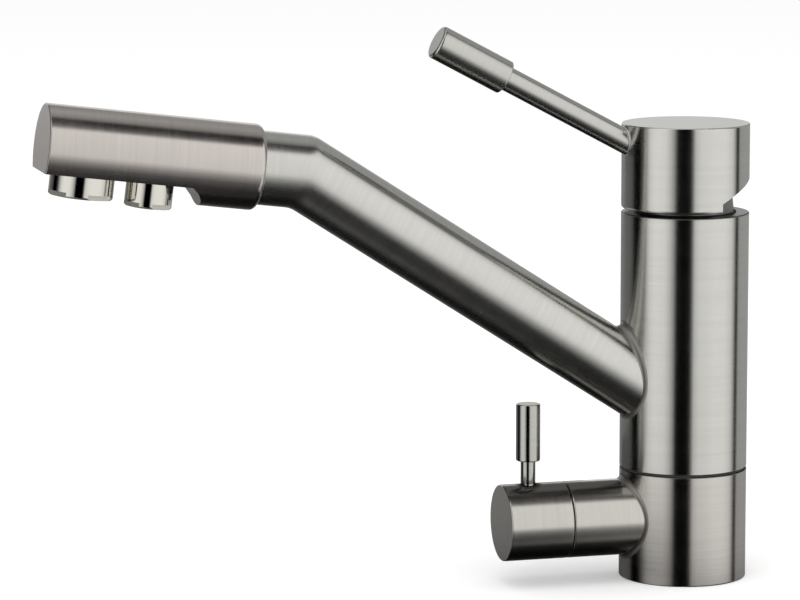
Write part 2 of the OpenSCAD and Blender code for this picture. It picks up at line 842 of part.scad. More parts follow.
module mixed_aerator_housing() {
    color([0.85, 0.85, 0.86]) outlet_down(mixed_s)
        aerator_housing(mixed_aerator_d, mixed_aerator_drop);
}
module mixed_aerator_insert() {
    color([0.30, 0.31, 0.33]) outlet_down(mixed_s)
        aerator_insert(mixed_aerator_d, mixed_aerator_drop);
}
module mixed_aerator_washer() {
    color([0.12, 0.12, 0.12]) outlet_down(mixed_s) aerator_washer(mixed_aerator_d);
}
module filter_aerator_housing() {
    color([0.85, 0.85, 0.86]) outlet_down(filter_s)
        aerator_housing(filter_aerator_d, filter_aerator_drop);
}
module filter_aerator_insert() {
    color([0.30, 0.31, 0.33]) outlet_down(filter_s)
        aerator_insert(filter_aerator_d, filter_aerator_drop);
}
module filter_aerator_washer() {
    color([0.12, 0.12, 0.12]) outlet_down(filter_s) aerator_washer(filter_aerator_d);
}

// Filter valve
module filter_valve_body() {
    color([0.80, 0.66, 0.36]) along_branch() difference() {
        union() {
            rod(spigot_r, spigot_s, nose_s + over);
            rod(nose_r, nose_s, valve_s);
            rod(valve_r, valve_s + seat, valve_end);
            rod(nose_r, valve_s - over, valve_s + over);
        }
        rod(spigot_bore, spigot_s - over, plenum_s + over);
        rod(plenum_r, plenum_s, valve_floor + over);
        rod(valve_in_r, valve_floor, valve_end + over);
        for (side = [-1, 1]) {
            translate([side * return_off, 0, 0]) rod(return_r, nose_s - over, return_s);
            translate([0, 0, return_s]) rotate([0, side * 90, 0])
                rod(return_r, 0, return_off);
        }
        tube(body_r, spigot_r - small_ring_d, spigot_ring_s - small_groove / 2,
            spigot_ring_s + small_groove / 2);
    }
}
module spigot_o_ring() {
    color([0.10, 0.10, 0.10]) along_branch()
        o_ring(spigot_r - small_ring_d / 2 + seat, small_ring_d, spigot_ring_s);
}
module filter_bonnet() {
    color([0.80, 0.66, 0.36]) along_branch() difference() {
        union() {
            rod(valve_r, valve_end, valve_end + bonnet_h);
            rod(bonnet_neck_r, valve_end, bonnet_end);
        }
        rod(spindle_r + fit, valve_end - over, bonnet_end + over);
    }
}
module filter_fixed_disc() {
    color([0.95, 0.95, 0.93]) along_branch() difference() {
        rod(valve_disc_r, valve_floor, valve_floor + valve_disc_h);
        for (side = [-1, 1]) translate([side * valve_port_off, 0, 0])
            rod(valve_port_r, valve_floor - over, valve_floor + valve_disc_h + over);
    }
}
module filter_moving_disc() {
    start = valve_floor + valve_disc_h + fit;
    color([0.93, 0.93, 0.91]) along_branch() difference() {
        rod(valve_disc_r, start, start + valve_disc_h);
        for (side = [-1, 1]) translate([0, side * valve_port_off, 0])
            rod(valve_port_r, start - over, start + valve_disc_h + over);
    }
}
module filter_spindle() {
    color([0.78, 0.64, 0.36]) along_branch() difference() {
        union() {
            rod(collar_r, spindle_start, spindle_start + collar_h);
            rod(spindle_r, spindle_start, spindle_end);
            rod(collar_r, valve_end - fit - collar2_h, valve_end - fit);
        }
        tube(body_r, spindle_r - small_ring_d, spindle_ring_s - small_groove / 2,
            spindle_ring_s + small_groove / 2);
    }
}
module spindle_o_ring() {
    color([0.10, 0.10, 0.10]) along_branch()
        o_ring(spindle_r - small_ring_d / 2 + seat, small_ring_d, spindle_ring_s);
}
module filter_knob() {
    color([0.74, 0.72, 0.70]) along_branch() difference() {
        turned(branch_r, knob_s, knob_end, edge_r, edge_r);
        rod(knob_cup_r, knob_s - over, knob_s + knob_cup_h);
        rod(spindle_r + seat, knob_s, knob_socket);
        translate([0, 0, knob_lever_s]) rotate([0, 90, 0])
            rod(knob_rod_r + seat, knob_rod_z, branch_d);
        translate([0, 0, knob_screw_s]) rotate([0, -90, 0])
            rod(knob_screw_r + seat, 0, branch_d);
    }
}
module knob_set_screw() {
    x = spindle_r + seat;
    color([0.30, 0.30, 0.32]) along_branch() translate([0, 0, knob_screw_s])
        rotate([0, -90, 0]) grub_screw(knob_screw_r, x, x + knob_screw_len);
}
module knob_lever_rod() {
    color([0.80, 0.79, 0.78]) translate([-knob_lever_s, 0, 0])
        rod(knob_rod_r, branch_h + knob_rod_z + seat,
            knob_lever_top - knob_grip_len + knob_rod_bury);
}
module knob_lever_grip() {
    start = knob_lever_top - knob_grip_len;
    color([0.80, 0.79, 0.78]) translate([-knob_lever_s, 0, 0]) difference() {
        turned(knob_grip_d / 2, start, knob_lever_top, edge_r, edge_r);
        rod(knob_rod_r + seat, start - over, start + knob_rod_bury + seat);
    }
}

base_shell();
base_seal();
valve_core();
core_o_rings();
lower_slide_ring();
upper_slide_ring();
cartridge_housing();
cartridge_seals();
mixer_fixed_disc();
cartridge_nut();
filter_valve_body();
filter_bonnet();
filter_fixed_disc();
spigot_o_ring();
swivel_sleeve();
spout_tube();
filtered_tube();
head_shell();
head_end_plate();
head_waterway();
waterway_o_ring();
filtered_tube_seal();
mixed_aerator_housing();
mixed_aerator_insert();
mixed_aerator_washer();
filter_aerator_housing();
filter_aerator_insert();
filter_aerator_washer();
stem_carrier();
stem_pin();
lever_stem();
lever_cap();
lever_rod();
lever_grip();
cap_set_screw();
cap_screw_plug();
mixer_moving_disc();
disc_driver();
filter_knob();
knob_lever_rod();
knob_lever_grip();
filter_spindle();
filter_moving_disc();
spindle_o_ring();
knob_set_screw();
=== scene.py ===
"""Looks of a three way filtered water tap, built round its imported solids.

Every piece sits in the frame of the solids: origin in the middle of the base on the worktop,
+Z up, and the spout, the mixer lever and the filter valve along -X. Lengths are in metres.
"""

from math import atan2, cos, hypot, pi, radians, sin, sqrt, tan

import bmesh
import bpy
from bpy.props import FloatProperty, FloatVectorProperty, PointerProperty
from mathutils import Matrix, Vector


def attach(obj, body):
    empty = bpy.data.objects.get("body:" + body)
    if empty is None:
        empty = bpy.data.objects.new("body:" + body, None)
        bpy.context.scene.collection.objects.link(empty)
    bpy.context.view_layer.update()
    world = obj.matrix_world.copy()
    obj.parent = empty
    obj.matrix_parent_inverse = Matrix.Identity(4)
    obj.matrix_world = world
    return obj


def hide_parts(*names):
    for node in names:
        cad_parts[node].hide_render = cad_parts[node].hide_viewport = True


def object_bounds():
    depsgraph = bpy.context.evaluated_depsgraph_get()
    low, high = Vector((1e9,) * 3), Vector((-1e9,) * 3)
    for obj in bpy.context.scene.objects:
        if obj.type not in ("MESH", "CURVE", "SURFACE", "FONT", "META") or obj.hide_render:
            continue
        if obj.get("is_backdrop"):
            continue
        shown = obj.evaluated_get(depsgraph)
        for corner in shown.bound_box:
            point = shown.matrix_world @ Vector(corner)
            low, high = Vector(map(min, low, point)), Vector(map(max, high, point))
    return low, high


bl_info = {
    "name": "Three way filtered water tap",
    "version": (1, 0, 0),
    "blender": (4, 5, 0),
    "location": "View3D > Sidebar > Tap",
    "description": "Dresses the solids of a kitchen tap in brushed steel and sets up its stage",
    "category": "Object",
}

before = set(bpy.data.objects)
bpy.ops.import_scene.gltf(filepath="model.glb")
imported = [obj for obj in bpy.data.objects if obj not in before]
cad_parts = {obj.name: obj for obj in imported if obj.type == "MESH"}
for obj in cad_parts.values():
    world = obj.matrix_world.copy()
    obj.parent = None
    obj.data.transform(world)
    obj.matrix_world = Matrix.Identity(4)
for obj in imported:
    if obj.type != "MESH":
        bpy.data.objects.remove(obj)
bpy.context.view_layer.update()
CAD_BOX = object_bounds()

MM = 0.001
HAIR = 1e-6  # a length far below any real one, within which points are one
STEPS = 160  # facets round a turned piece
BEND_ARC = 8  # facets along the rounded bend
CROWN_ARC = 8  # facets across the crown of the end plate's rim
RIM_ARC = 3  # facets across a rounded edge
QUARTER = pi / 2
FOLD = radians(30)  # an edge that is sharper than this can be rounded
CREASE = radians(38)  # an edge that is sharper than this stays sharp in the shading
NOISE_SPAN = {"From Min": 0.3, "From Max": 0.7}  # nearly all of the noise lies in this span


def length(name, default_mm, description):
    """A length that a user may change, given in mm and stored in metres."""
    return FloatProperty(name=name, description=description, default=default_mm * MM,
                         min=0.0, unit="LENGTH", precision=5)


def angle(name, default_deg, description):
    """An angle that a user may change, given in degrees."""
    return FloatProperty(name=name, description=description, default=radians(default_deg),
                         subtype="ANGLE")


def sheen(name, default, description):
    """A roughness or a share, from 0 to 1."""
    return FloatProperty(name=name, description=description, default=default, min=0.0, max=1.0,
                         subtype="FACTOR")


def linear(code):
    """The linear red, green and blue of an sRGB hex colour."""
    parts = [int(code[i:i + 2], 16) / 255 for i in (1, 3, 5)]
    return [p / 12.92 if p <= 0.04045 else ((p + 0.055) / 1.055) ** 2.4 for p in parts]


def colour(name, code, description):
    """A colour that a user may change, given as sRGB hex."""
    return FloatVectorProperty(name=name, description=description, default=linear(code), size=3,
                               min=0.0, max=1.0, subtype="COLOR")


class TapSizes(bpy.types.PropertyGroup):
    """Sizes of the pieces that are modelled here, equal to the solids' where they meet"""

    body_d: length("Body diameter", 50, "Outer diameter of the base, sleeve and cap")
    branch_h: length("Branch height", 24.6, "Height of the filter valve's axis")
    branch_d: length("Branch diameter", 30, "Outer diameter of the filter valve's branch")
    branch_weld: length("Branch weld", 2.2, "Radius of the hollow fillet round the branch")
    arm_join_h: length("Arm height", 65.4, "Height at which the arm's axis meets the body's")
    arm_rise: angle("Arm rise", 32.9, "Rise of the arm above the horizontal")
    arm_len: length("Arm length", 183.6, "From the body's axis to the bend")
    arm_weld: length("Arm weld", 2.4, "Radius of the hollow fillet round the arm")
    spout_d: length("Spout diameter", 28.3, "Outer diameter of the spout's tube")
    spout_wall: length("Spout wall", 1.5, "Wall of the spout's tube")
    bend_round: length("Bend rounding", 2.2, "How far the polished bend reaches each way")
    tip_rise: angle("Tip rise", 7.2, "Rise of the tip and head above the horizontal")
    tip_len: length("Tip length", 17.5, "From the bend to the back of the head")
    tip_bury: length("Tip bury", 4.5, "How far the tip reaches into the head")
    head_d: length("Head diameter", 32.8, "Diameter of the spout head")
    head_len: length("Head length", 83.3, "Length of the spout head")
    head_plate: length("End plate", 2, "Thickness of the head's end plate")
    plate_edge: length("End plate's rim", 0.35, "Rounding of the end plate's rim")
    plate_crown: length("End plate's crown", 0.45, "How far the end plate's rim is dressed back")
    plate_crown_w: length("Crown width", 0.7, "Width of the dressed rim")
    flat_drop: length("Flat drop", 9, "Distance of the flat underside below the head's axis")
    mixed_back: length("Mixed outlet", 16.7, "From the front face back to its axis")
    outlet_pitch: length("Outlet pitch", 26, "Between the axes of the two outlets")
    mixed_d: length("Mixed aerator", 24.4, "Diameter of the mixed water aerator")
    filter_d: length("Filter aerator", 18, "Diameter of the filtered water aerator")
    # The ring in the gap under the cap is painted shadow: a black piece that stands for the shade
    # down in that gap, round the foot of the cartridge nut
    shadow_ring_d: length("Wiper ring", 39.8, "Outer diameter of the ring at the cartridge nut's foot")
    shadow_ring_w: length("Wiper width", 0.65, "Width of that ring")
    shadow_ring_z: length("Wiper height", 144.06, "Height of that ring's underside")
    shadow_ring_h: length("Wiper thickness", 1.1, "Thickness of that ring")
    shadow_ring_edge: length("Wiper edge", 0.2, "Rounding of that ring's upper edges")
    seam_z: length("Seam height", 43.7, "Height of the seam over the base")
    gap_z: length("Gap height", 145.45, "Height of the gap under the cap")
    lever_z: length("Lever height", 159.5, "Height at which its axis meets the body's")
    lever_rise: angle("Lever rise", 28.1, "Rise of the lever above the horizontal")
    lever_weld: length("Lever weld", 0.7, "Radius of the hollow fillet round the lever's rod")
    lever_rod_d: length("Lever rod", 9.4, "Diameter of the lever's rod")
    knob_lever_x: length("Filter lever place", 63.9, "Distance of the filter lever's axis")
    knob_rod_d: length("Filter rod", 5.8, "Diameter of the filter lever's rod")


class TapFinishes(bpy.types.PropertyGroup):
    """Colours and roughness of the finishes"""

    steel: colour("Steel", "#D8D7D1", "Stainless steel, seen square on")
    steel_dark: colour("Steel in the lines", "#CECDC7", "Stainless steel in the brush lines")
    warm_steel: colour("Warm steel", "#D5D1CB", "The steel of the base, branch and knob")
    warm_steel_dark: colour("Warm steel in the lines", "#CBC7C1", "The same in its lines")
    head_steel: colour("Head steel", "#D6CFC9", "The steel of the spout head")
    head_steel_dark: colour("Head steel in the lines", "#CCC5BF", "The same in its lines")
    lever_steel: colour("Lever steel", "#CFCEC8", "The steel of the mixer lever")
    lever_steel_dark: colour("Lever steel in the lines", "#C5C4BE", "The same in its lines")
    small_steel: colour("Filter lever steel", "#C3C2BC", "The steel of the filter lever")
    small_steel_dark: colour("Filter lever steel in the lines", "#B8B7B1", "The same in its lines")
    # The welds' grey, darker than the steel round them, is painted shade in the crease where the
    # pipes meet the body
    shaded_weld_steel: colour("Weld steel", "#A29F99", "The dressed welds, a little dulled by the heat")
    body_rough: sheen("Body roughness", 0.21, "Roughness of the brushed body")
    arm_rough: sheen("Arm roughness", 0.24, "Roughness of the brushed arm")
    branch_rough: sheen("Branch roughness", 0.23, "Roughness of the brushed branch and knob")
    lever_rough: sheen("Lever roughness", 0.25, "Roughness of the finely turned lever")
    small_rough: sheen("Filter lever roughness", 0.14, "Roughness of the filter lever")
    weld_rough: sheen("Weld roughness", 0.45, "Roughness of the dressed welds")
    face_rough: sheen("Face roughness", 0.32, "Roughness of the faced ends")
    milled_rough: sheen("Milled roughness", 0.5, "Roughness of the milled spanner flats")
    nut: colour("Nut", "#A3A49E", "Nickel plate of the cartridge nut")
    chrome: colour("Chrome", "#DCD9D0", "Bright chrome plate")
    brass: colour("Brass", "#C9A961", "Machined brass")
    rubber: colour("Rubber", "#131313", "Black seal rubber")
    black_plastic: colour("Black plastic", "#0C0C0D", "Black acetal of the slide ring")
    white_plastic: colour("White plastic", "#E4E2DA", "Natural acetal of the cartridge")
    grey_plastic: colour("Grey plastic", "#44474B", "Grey polymer of the sieves")
    tube_plastic: colour("Tube plastic", "#D9DEE2", "Polyethylene of the filtered tube")
    ceramic: colour("Ceramic", "#F1EFE8", "Lapped alumina of the discs")
    black_steel: colour("Black steel", "#2A2A2C", "Blackened steel of the screws")


class TapStage(bpy.types.PropertyGroup):
    """Camera, floor and light"""

    place: FloatVectorProperty(name="Camera place", description="Where the camera stands",
                               default=(-0.5121, -1.4364, 0.3344), size=3, unit="LENGTH")
    turn: angle("Camera turn", -15.43, "Turn of the camera round the upright")
    dip: angle("Camera dip", 8.404, "How far the camera looks down")
    roll: angle("Camera roll", -0.082, "Roll of the camera")
    lens: FloatProperty(name="Lens", description="Focal length of the camera", default=176.39,
                        unit="CAMERA")
    floor: colour("Floor", "#F4F4F4", "Pale floor")
    floor_lift: sheen("Floor lift", 0.22, "Light added to the floor where it is seen")
    sky: sheen("Sky", 0.8, "Strength of the soft light from all round")
    mat_radius: length("Mat radius", 160, "Radius of the dark mat that the metal mirrors")
    mat_shade: sheen("Mat shade", 0.3, "How much light the mat lets through in its middle")


# Name, place, size and watts of each soft box, and the point that they are aimed at
LAMPS = (("top_box", (-0.3, -0.4, 2.2), 1.8, 14), ("front_box", (-1.6, -1.9, 1.4), 1.4, 8))
LAMP_AIM = (-0.1, 0, 0.1)
SENSOR_MM = 36
FLOOR_RADIUS = 12
FLOOR_DROP = 0.05 * MM  # how far the floor lies under the base
NETS_AWAY = 4.0  # radius of the ball of nets
MAT_MIDDLE = (-0.06, -0.02, 0)
# How much of the white the nets let through, as (degrees, shade). A turn of 0 is towards the
# camera and grows to the right; a rise of 0 is level. The wall gives way to the upper net between
# the two rises of UPPER_FROM, and the lower net dims both by the rise.
WALL_NET = ((-180, 0.26), (-150, 0.18), (-134, 0.14), (-122, 0.12), (-114, 0.07), (-108, 0.0),
            (-93, 0.0), (-86, 0.1), (-77, 0.56), (-70, 0.88), (-60, 1.0), (-40, 0.98),
            (-31, 0.74), (-23, 0.36), (-19, 0.0), (6, 0.0), (9, 0.1), (14, 0.76), (24, 0.95),
            (46, 1.0), (74, 1.0), (90, 0.82), (97, 0.4), (101, 0.0), (106, 0.0), (110, 0.4),
            (132, 0.4), (150, 0.36), (180, 0.4))
UPPER_NET = ((-180, 0.6), (-60, 0.7), (20, 0.7), (32, 0.6), (42, 0.0), (94, 0.0), (108, 0.12),
             (124, 0.26), (150, 0.36), (180, 0.5))
UPPER_FROM = (53, 60)
LOWER_NET = ((-90, 0.0), (-56, 0.0), (-48, 0.03), (-42, 0.08), (-34, 0.27), (-25, 0.46),
             (-16, 0.78), (-9, 1.0), (90, 1.0))
# White cards that lighten the other sides: over which rises each fades in at its foot and out at
# its top, and its shade by the turn
BACK_CARD = ((-4, 1), (34, 26), ((-180, 0.8), (-172, 0.8), (-164, 0.7), (-147, 0.7), (-134, 0.0),
                                 (164, 0.0), (174, 0.8), (180, 0.8)))
SIDE_CARD = ((-62, -50), (-10, -17), (
    (-180, 0.0), (-92, 0.0), (-84, 0.2), (-74, 0.7), (-54, 0.85), (-34, 0.0), (36, 0.0),
    (54, 0.85), (88, 0.75), (97, 0.2), (101, 0.0), (180, 0.0)))
REAR_CARD = ((-36, -26), (-10, -17), (
    (-180, 0.0), (-156, 0.0), (-148, 0.55), (-116, 0.5), (-109, 0.0), (106, 0.0), (112, 0.5),
    (148, 0.55), (158, 0.0), (180, 0.0)))
# The little light from below: its shades in front and behind, the turns between which the one
# gives way to the other, and the rises between which it fades in
GLOW_SHADES = (0.035, 0.01)
GLOW_TURNS = (60, 120)
GLOW_RISES = (-32, -46)


# Modelling


def leaning(x, z, rise):
    """The frame whose +Z leaves (x, 0, z) along -X at that rise, and whose +X is above it."""
    return Matrix.Translation((x, 0, z)) @ Matrix.Rotation(rise - QUARTER, 4, "Y")


def arm_frame(sizes):
    return leaning(0, sizes.arm_join_h, sizes.arm_rise)


def tip_frame(sizes):
    x, z = -sizes.arm_len * cos(sizes.arm_rise), sizes.arm_len * sin(sizes.arm_rise)
    return leaning(x, sizes.arm_join_h + z, sizes.tip_rise)


def lever_frame(sizes):
    return leaning(0, sizes.lever_z, sizes.lever_rise)


def branch_frame(sizes):
    return leaning(0, sizes.branch_h, 0)


def outlet_frame(sizes, back):
    """The frame of an outlet: +Z points down out of the head's flat."""
    s = sizes.tip_len + sizes.head_len - back
    return tip_frame(sizes) @ Matrix.Translation((0, 0, s)) @ Matrix.Rotation(-QUARTER, 4, "Y")


def piece(name, bm):
    """Makes a mesh object of bm at the origin and frees bm."""
    mesh = bpy.data.meshes.new(name)
    bm.to_mesh(mesh)
    bm.free()
    made = bpy.data.objects.new(name, mesh)
    bpy.context.scene.collection.objects.link(made)
    return made


def spun(corners, closed, near):
    """A bmesh of (radius, height) corners that are joined in order and spun round Z.

    If closed, the last corner is joined to the first. Points within near of each other merge.
    """
    bm = bmesh.new()
    points = [bm.verts.new((r, 0, z)) for r, z in corners]
    pairs = list(zip(points, points[1:])) + ([(points[-1], points[0])] if closed else [])
    edges = [bm.edges.new(p) for p in pairs]
    bmesh.ops.spin(bm, geom=points + edges, cent=(0, 0, 0), axis=(0, 0, 1), angle=2 * pi,
                   steps=STEPS, use_merge=True, use_duplicate=False)
    bmesh.ops.remove_doubles(bm, verts=bm.verts, dist=near)
    return bm


def swept(corners, section):
    """A bmesh whose closed section changes on its way round Z: section(turn) gives its corners."""
    bm = spun([(1, k) for k in range(corners)], True, 10 * HAIR)
    places = {}
    for v in bm.verts:
        turn = round(atan2(v.co.y, v.co.x), 5)
        if turn not in places:
            places[turn] = list(section(turn))
        v.co = places[turn][round(v.co.z)]
    bmesh.ops.recalc_face_normals(bm, faces=bm.faces)
    return bm


def lathe(outline, rims):
    """A bmesh that is turned round Z from (radius, height) corners.

    An outline that starts and ends on the axis is open, and any other one is closed. Each rim
    is (radius, height, rounding).
    """
    bm = spun(outline, outline[0][0] > 0, HAIR)
    for radius, height, rounding in rims:
        round_edges(bm, rounding, lambda e, r=radius, h=height: all(
            abs(hypot(v.co.x, v.co.y) - r) < HAIR and abs(v.co.z - h) < HAIR for v in e.verts))
    bmesh.ops.recalc_face_normals(bm, faces=bm.faces)
    return bm


def round_edges(bm, size, chosen):
    """Rounds the edges for which chosen(edge) holds."""
    edges = [e for e in bm.edges if chosen(e)]
    if edges:
        bmesh.ops.bevel(bm, geom=edges, offset=size, offset_type="OFFSET", segments=RIM_ARC,
                        profile=0.5, affect="EDGES", material=-1, clamp_overlap=True)


def prism(points, half_width):
    """A bmesh of an outline in the XZ plane, drawn out to both sides along Y."""
    bm = bmesh.new()
    face = bm.faces.new([bm.verts.new((x, -half_width, z)) for x, z in points])
    grown = bmesh.ops.extrude_face_region(bm, geom=[face])
    moved = [v for v in grown["geom"] if isinstance(v, bmesh.types.BMVert)]
    bmesh.ops.translate(bm, verts=moved, vec=(0, 2 * half_width, 0))
    bmesh.ops.recalc_face_normals(bm, faces=bm.faces)
    return bm


def disc(radius, middle):
    """A bmesh of one level round face."""
    bm = bmesh.new()
    bmesh.ops.create_circle(bm, cap_ends=True, radius=radius, segments=64)
    bmesh.ops.translate(bm, verts=bm.verts, vec=middle)
    return bm


def cut(kept, bm):
    """Cuts bm out of the object kept, and frees bm."""
    tool = piece("tool", bm)
    modifier = kept.modifiers.new("cut", "BOOLEAN")
    modifier.object, modifier.operation, modifier.solver = tool, "DIFFERENCE", "EXACT"
    graph = bpy.context.evaluated_depsgraph_get()
    left = bpy.data.meshes.new_from_object(kept.evaluated_get(graph))
    kept.modifiers.clear()
    old, kept.data = kept.data, left
    spare = tool.data
    bpy.data.objects.remove(tool)
    for mesh in (old, spare):
        bpy.data.meshes.remove(mesh)


def soften(made, size, where):
    """Rounds the sharp edges of an object whose middle is where where(point) holds."""
    bm = bmesh.new()
    bm.from_mesh(made.data)
    bmesh.ops.remove_doubles(bm, verts=bm.verts, dist=2 * HAIR)
    round_edges(bm, size, lambda e: len(e.link_faces) == 2 and e.calc_face_angle(0) > FOLD
                and where((e.verts[0].co + e.verts[1].co) / 2))
    bm.to_mesh(made.data)
    bm.free()


def dress(made, material, body, replaced=()):
    """Shades an object smoothly between its sharp edges, paints it and puts it on its body."""
    mesh = made.data
    bm = bmesh.new()
    bm.from_mesh(mesh)
    for face in bm.faces:
        face.smooth = True
    for edge in bm.edges:
        edge.smooth = len(edge.link_faces) != 2 or edge.calc_face_angle(0) < CREASE
    bm.to_mesh(mesh)
    bm.free()
    weighted = made.modifiers.new("flat faces stay flat", "WEIGHTED_NORMAL")
    weighted.keep_sharp = True
    mesh.materials.clear()
    mesh.materials.append(material)
    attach(made, body)
    if replaced:
        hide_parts(*replaced)
    return made


def slide_to_body(point, along, radius):
    """Where the line from point along a direction leaves the upright cylinder of that radius."""
    a = along.x ** 2 + along.y ** 2
    b = point.x * along.x + point.y * along.y
    c = point.x ** 2 + point.y ** 2 - radius ** 2
    return point + along * ((sqrt(b * b - a * c) - b) / a)


def weld_cove(at, pipe_r, body_r, cove_r, arc=10, buried=0.7 * MM, tucked=0.02 * MM):
    """The hollow fillet that a ball leaves when it rolls round a pipe where it meets the body.

    Its rims are tucked a little under both surfaces, and its hidden corner is buried in the metal.
    """
    above, side, along = at.col[0].xyz, at.col[1].xyz, at.col[2].xyz
    root = at.translation

    def section(turn):
        out = cos(turn) * above + sin(turn) * side
        ball = slide_to_body(root + out * (pipe_r + cove_r), along, body_r + cove_r)
        to_body = -Vector((ball.x, ball.y, 0)).normalized()
        to_pipe = -out
        spread = to_pipe.angle(to_body)
        for k in range(arc + 1):
            share = k / arc
            reach = cove_r + (tucked if k in (0, arc) else 0)
            yield ball + reach * (to_pipe * sin((1 - share) * spread)
                                  + to_body * sin(share * spread)) / sin(spread)
        corner = (to_pipe + to_body) / (1 + to_pipe.dot(to_body))
        yield ball + corner * cove_r + (to_pipe + to_body).normalized() * buried

    return swept(arc + 2, section)


# Materials


def add_node(tree, kind, settings=None, inputs=None):
    """Adds a shader node. An input that is given an output, or a node for its first, is linked."""
    made = tree.nodes.new("ShaderNode" + kind)
    for name, value in (settings or {}).items():
        setattr(made, name, value)
    for name, value in (inputs or {}).items():
        if isinstance(value, bpy.types.Node):
            value = value.outputs[0]
        if isinstance(value, bpy.types.NodeSocket):
            tree.links.new(value, made.inputs[name])
        else:
            made.inputs[name].default_value = value
    return made


def new_material(name):
    """An empty node material and its tree."""
    made = bpy.data.materials.new(name)
    made.use_nodes = True
    made.node_tree.nodes.clear()
    return made, made.node_tree


def finish(tree, surface):
    """Ends a material in a surface."""
    add_node(tree, "OutputMaterial", inputs={"Surface": surface})


def rgba(value):
    return (*value[:3], 1.0)


def grey(shade):
    return (shade, shade, shade, 1.0)


STREAK = 30 * MM  # how far a brush line runs
# Of the fine lines and of the broad bands between them: how often they change along and over the
# lines, in shares of the streak and of the line, their detail and its strength
FINE_LINES = (1, 1, 3.0, 0.65)
BROAD_BANDS = (0.3, 0.18, 2.0, 0.5)
WORN_CLOUDS = 60.0  # clouds of wear per metre of metal
MOULD_CLOUDS = 90.0  # faint clouds per metre of moulded stuff
MOULD_VARY = 0.05  # how far those change its roughness
# Roughness of the painted shade, where it also blurs what the metal mirrors
PAINTED_SHADE_ROUGH = 0.7
FACED = (0.8, 0.96)  # cosines to the axis between which a face turns from round to flat end
MILLED = (0.05 * MM, 0.12 * MM)  # depths under the round between which a flat turns milled


def turned_metal(name, *look, **settings):
    """A material of metal that was turned or brushed round one axis."""
    made, tree = new_material(name)
    finish(tree, turned_shader(tree, *look, **settings))
    return made


def turned_shader(tree, bright, dark, roughness, spread, at=None, faced=None, line=0.45 * MM,
                  depth=0.012 * MM, grip=0.4, smudge=0.02, grime=(), milled=None):
    """Metal that was turned or brushed round an axis, so fine lines run round it.

    The lines draw each highlight out along the axis. They are really 0.05 to 0.1 mm apart, and
    are drawn wider here, because they would be finer than a pixel. at is the frame whose Z is
    the axis, and faced is the roughness of the flat ends, which were faced in the lathe. Inside
    the radius milled, the flats were milled and have the faced roughness. line is how far apart
    the lines are, depth and grip say how much they stand out, and smudge how far the roughness
    varies. The last argument lists the spots and lines of painted shade, darker and rougher where
    shade falls, as the next function takes them.
    """
    at = at or Matrix()
    turn, origin = at.to_euler(), at.translation
    here = add_node(tree, "TexCoord").outputs["Object"]
    local = add_node(tree, "Mapping", {"vector_type": "TEXTURE"},
                     {"Vector": here, "Location": origin, "Rotation": turn})
    x, y, z = add_node(tree, "SeparateXYZ", inputs={0: local}).outputs
    flat = add_node(tree, "CombineXYZ", inputs={0: x, 1: y})
    radius = add_node(tree, "VectorMath", {"operation": "LENGTH"}, {0: flat}).outputs["Value"]
    across = add_node(tree, "Math", {"operation": "ADD"}, {0: z, 1: radius})
    lined = add_node(tree, "CombineXYZ", inputs={0: x, 1: y, 2: across})
    lines, bands = [add_node(tree, "TexNoise", inputs={
        "Vector": add_node(tree, "VectorMath", {"operation": "MULTIPLY"}, {
            0: lined, 1: (along / STREAK, along / STREAK, over / line)}),
        "Scale": 1.0, "Detail": detail, "Roughness": gain}).outputs["Fac"]
        for along, over, detail, gain in (FINE_LINES, BROAD_BANDS)]
    cloud = add_node(tree, "TexNoise", inputs={"Vector": local, "Scale": WORN_CLOUDS,
                                               "Detail": 3.0, "Roughness": 0.55}).outputs["Fac"]
    mixed = add_node(tree, "Mix", {"data_type": "FLOAT"}, {0: 0.4, 2: lines, 3: bands})
    tone = add_node(tree, "MapRange", inputs={"Value": mixed, **NOISE_SPAN})
    base = add_node(tree, "Mix", {"data_type": "RGBA"}, {0: tone, 6: rgba(dark),
                                                         7: rgba(bright)}).outputs[2]
    worn = add_node(tree, "MapRange", inputs={"Value": cloud, **NOISE_SPAN,
                                              "To Min": roughness - smudge,
                                              "To Max": roughness + smudge})
    rough = add_node(tree, "MapRange", inputs={"Value": lines, **NOISE_SPAN, "To Min": -smudge,
                                               "To Max": smudge})
    rough = add_node(tree, "Math", {"operation": "ADD", "use_clamp": True}, {0: worn, 1: rough})
    # Painted shade: darker, rougher spots and lines where shade falls
    for dull in grime:
        base, rough = add_grime(tree, local, base, rough, *dull)
    if milled:
        on_flat = add_node(tree, "MapRange", inputs={
            "Value": radius, "From Min": milled - MILLED[0], "From Max": milled - MILLED[1]})
    elif faced:
        on_flat = facing_along(tree, at.col[2].xyz)
    if faced:
        rough = add_node(tree, "Mix", {"data_type": "FLOAT"}, {0: on_flat, 2: rough, 3: faced})
    bump = add_node(tree, "Bump", inputs={"Strength": grip, "Distance": depth, "Height": lines})
    # The lines run round the axis, and each highlight is drawn out square to them
    back = add_node(tree, "Math", {"operation": "MULTIPLY"}, {0: y, 1: -1.0})
    round_it = add_node(tree, "CombineXYZ", inputs={0: back, 1: x})
    if faced and not milled:
        round_it = add_node(tree, "Mix", {"data_type": "VECTOR"},
                            {0: on_flat, 4: round_it, 5: (0.0, 1.0, 0.0)}).outputs[1]
    in_piece = add_node(tree, "Mapping", {"vector_type": "VECTOR"},
                        {"Vector": round_it, "Rotation": turn})
    in_world = add_node(tree, "VectorTransform", {
        "vector_type": "VECTOR", "convert_from": "OBJECT", "convert_to": "WORLD"}, {0: in_piece})
    facing = add_node(tree, "NewGeometry").outputs["Normal"]
    tangent = add_node(tree, "VectorMath", {"operation": "CROSS_PRODUCT"},
                       {0: in_world, 1: facing})
    return add_node(tree, "BsdfPrincipled", inputs={
        "Base Color": base, "Metallic": 1.0, "Roughness": rough, "Anisotropic": spread,
        "Tangent": tangent, "Normal": bump})


